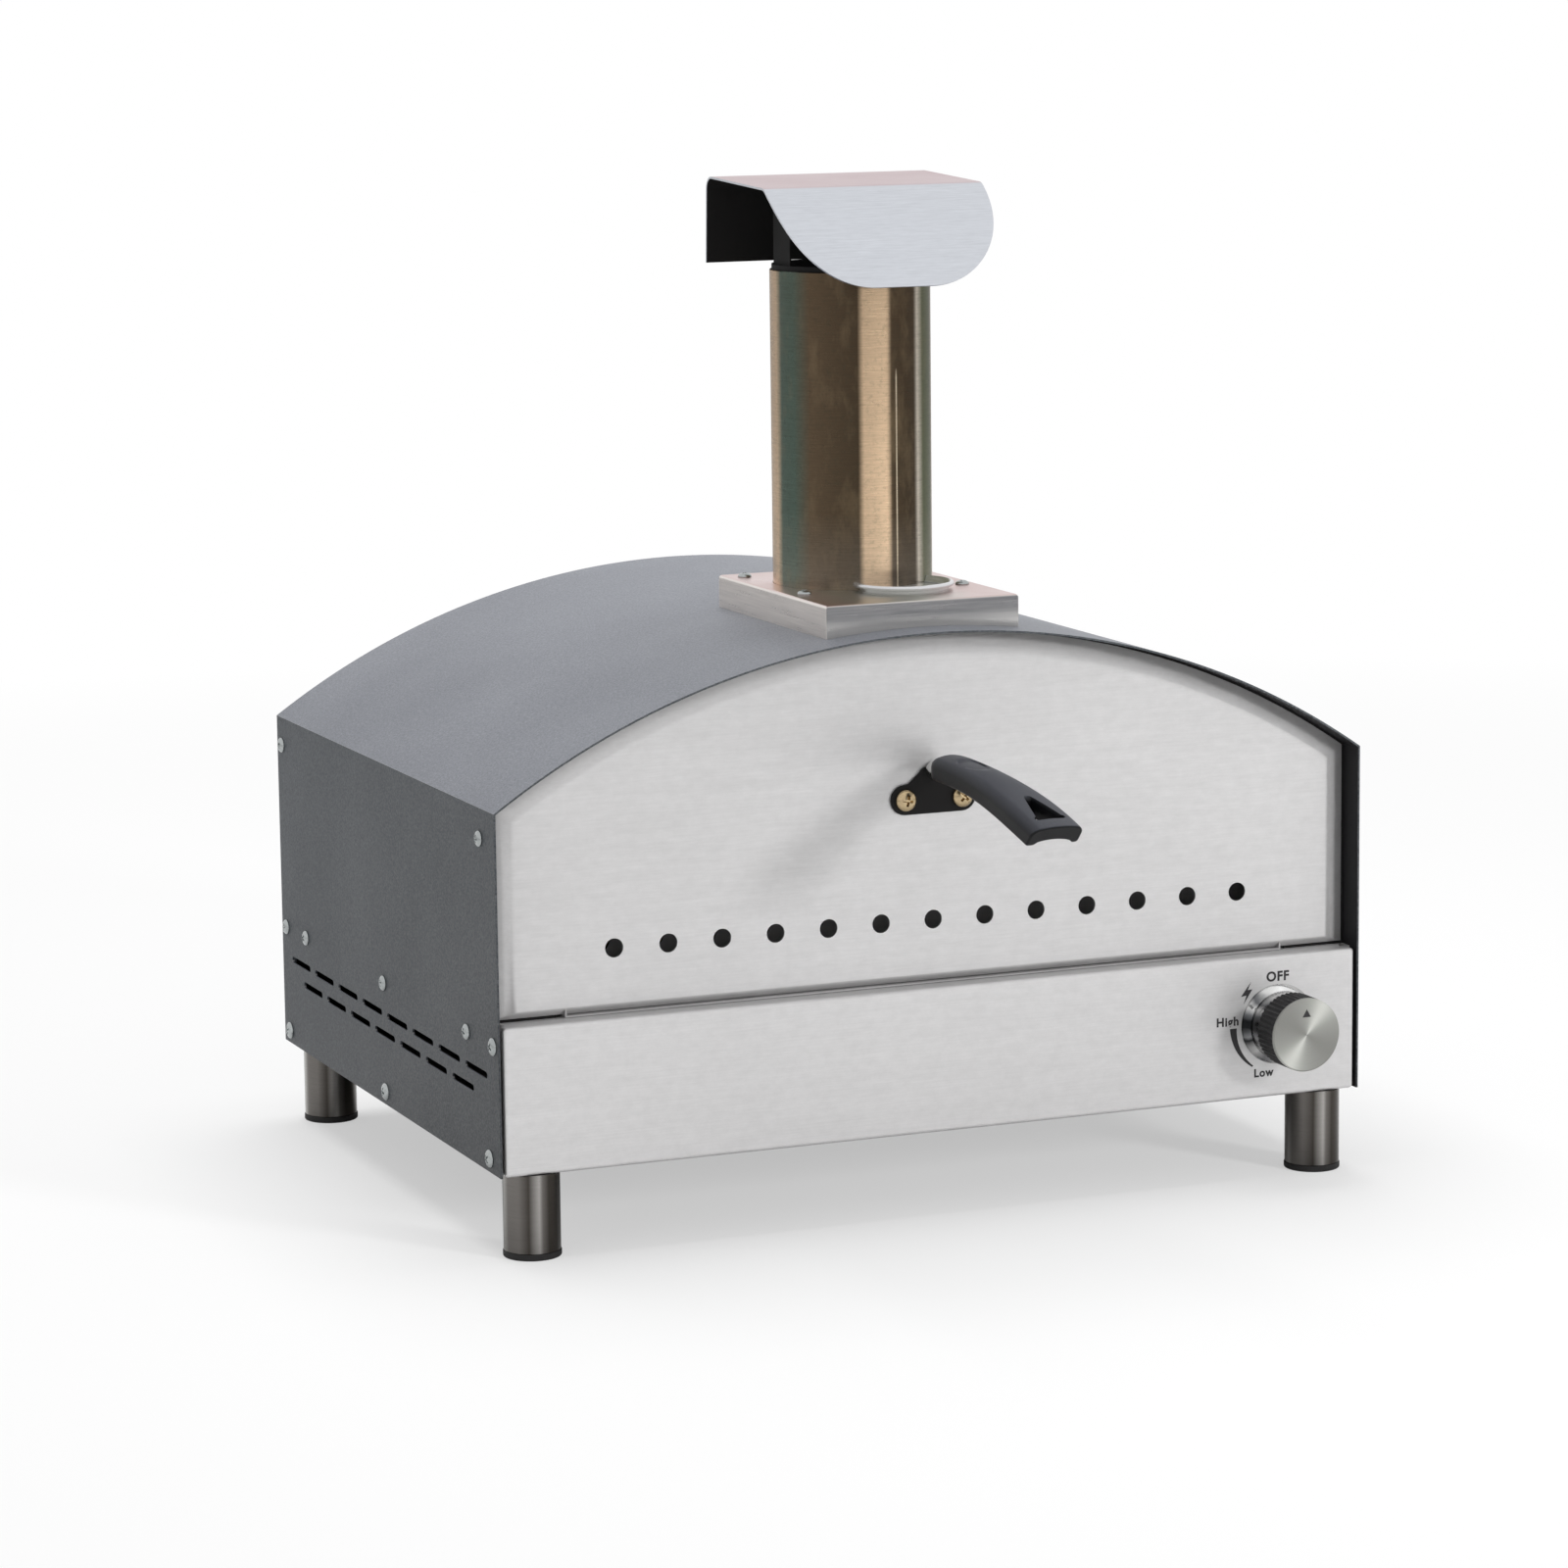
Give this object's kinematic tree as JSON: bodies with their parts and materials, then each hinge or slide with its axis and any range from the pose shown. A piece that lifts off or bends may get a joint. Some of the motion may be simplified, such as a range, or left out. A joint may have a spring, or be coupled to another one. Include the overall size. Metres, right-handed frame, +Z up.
{
  "type": "pizza oven",
  "caption": "Table-top pizza oven: arched sheet-metal hood on tube legs, lift-out front door with a pan handle, gas burner with a control knob, loose stone, and a capped chimney.",
  "frame": {"origin": "on the table top, under the middle of the oven's own box (which takes in the door handle in front and the gas inlet behind)", "axes": "+X to the oven's right as seen by someone facing its door, +Y to the back, +Z up"},
  "size_m": [0.5352, 0.5726, 0.58],
  "materials": {
    "hood_paint": "satin dark grey powder coat",
    "inner_paint": "matt black",
    "stainless": "horizontal brushed",
    "stainless_tinted": "brushed, heat tinted",
    "stainless_plain": "mill finish",
    "bright_steel": "polished",
    "insulation": "ceramic fibre blanket",
    "stone": "matt cordierite",
    "brass": "machined",
    "yellow_zinc": "yellow zinc plate",
    "copper": "drawn copper tube",
    "ceramic": "glazed ceramic",
    "black_rubber": "matt",
    "black_plastic": "fine moulded grain",
    "knob_aluminium": "spun face"
  },
  "bodies": {
    "oven": {"hood": "hood_paint", "back_panel": "hood_paint", "base_pan": "inner_paint", "control_panel": "stainless", "oven_floor": "stainless", "front_frame": "inner_paint", "chamber_liner": "stainless_plain", "chamber_back_wall": "stainless_plain", "insulation": "insulation", "stone_tray": "stainless_plain", "flame_guard": "stainless_plain", "burner": "stainless_plain", "burner_brackets": "stainless_plain", "gas_valve": "brass", "gas_pipe": "copper", "gas_inlet": "brass", "igniter": "ceramic", "electrode": "ceramic", "ignition_lead": "black_rubber", "chimney_base": "stainless", "chimney_pipe": "stainless_tinted", "pipe_clip": "bright_steel", "cap_collar": "inner_paint", "cap_straps": "inner_paint", "chimney_cap": "stainless", "base_screws": "bright_steel", "leg_front_left": "stainless", "leg_front_right": "stainless", "leg_rear_left": "stainless", "leg_rear_right": "stainless", "foot_front_left": "black_rubber", "foot_front_right": "black_rubber", "foot_rear_left": "black_rubber", "foot_rear_right": "black_rubber", "leg_bolts": "bright_steel", "screws_left": "bright_steel", "screws_right": "bright_steel", "screws_back": "bright_steel", "knob_bezel": "bright_steel"},
    "door": {"door_sheet": "stainless", "door_pan": "stainless_plain", "handle_plate": "inner_paint", "handle_neck": "bright_steel", "handle_grip": "black_plastic", "handle_screws": "yellow_zinc", "handle_nuts": "bright_steel"},
    "valve_plug": {"valve_plug": "brass"},
    "knob": {"valve_stem": "bright_steel", "knob_skirt": "black_plastic", "knob_face": "knob_aluminium"},
    "stone": {"pizza_stone": "stone"}
  },
  "joints": [
    {"name": "door_pull", "type": "slide", "parent": "oven", "child": "door", "axis": [0, -1, 0], "range_m": [0, 0.15]},
    {"name": "knob_turn", "type": "hinge", "parent": "oven", "child": "valve_plug", "pos_m": [0.212, -0.1317, 0.091], "axis": [0, -1, 0], "range_deg": [0, 162]},
    {"name": "knob_press", "type": "slide", "parent": "valve_plug", "child": "knob", "axis": [0, 1, 0], "range_m": [0, 0.003], "stiffness_N_per_m": 1200, "springref_m": -0.002},
    {"name": "stone_lift", "type": "slide", "parent": "oven", "child": "stone", "axis": [0, 0, 1], "range_m": [0, 0.02]}
  ]
}
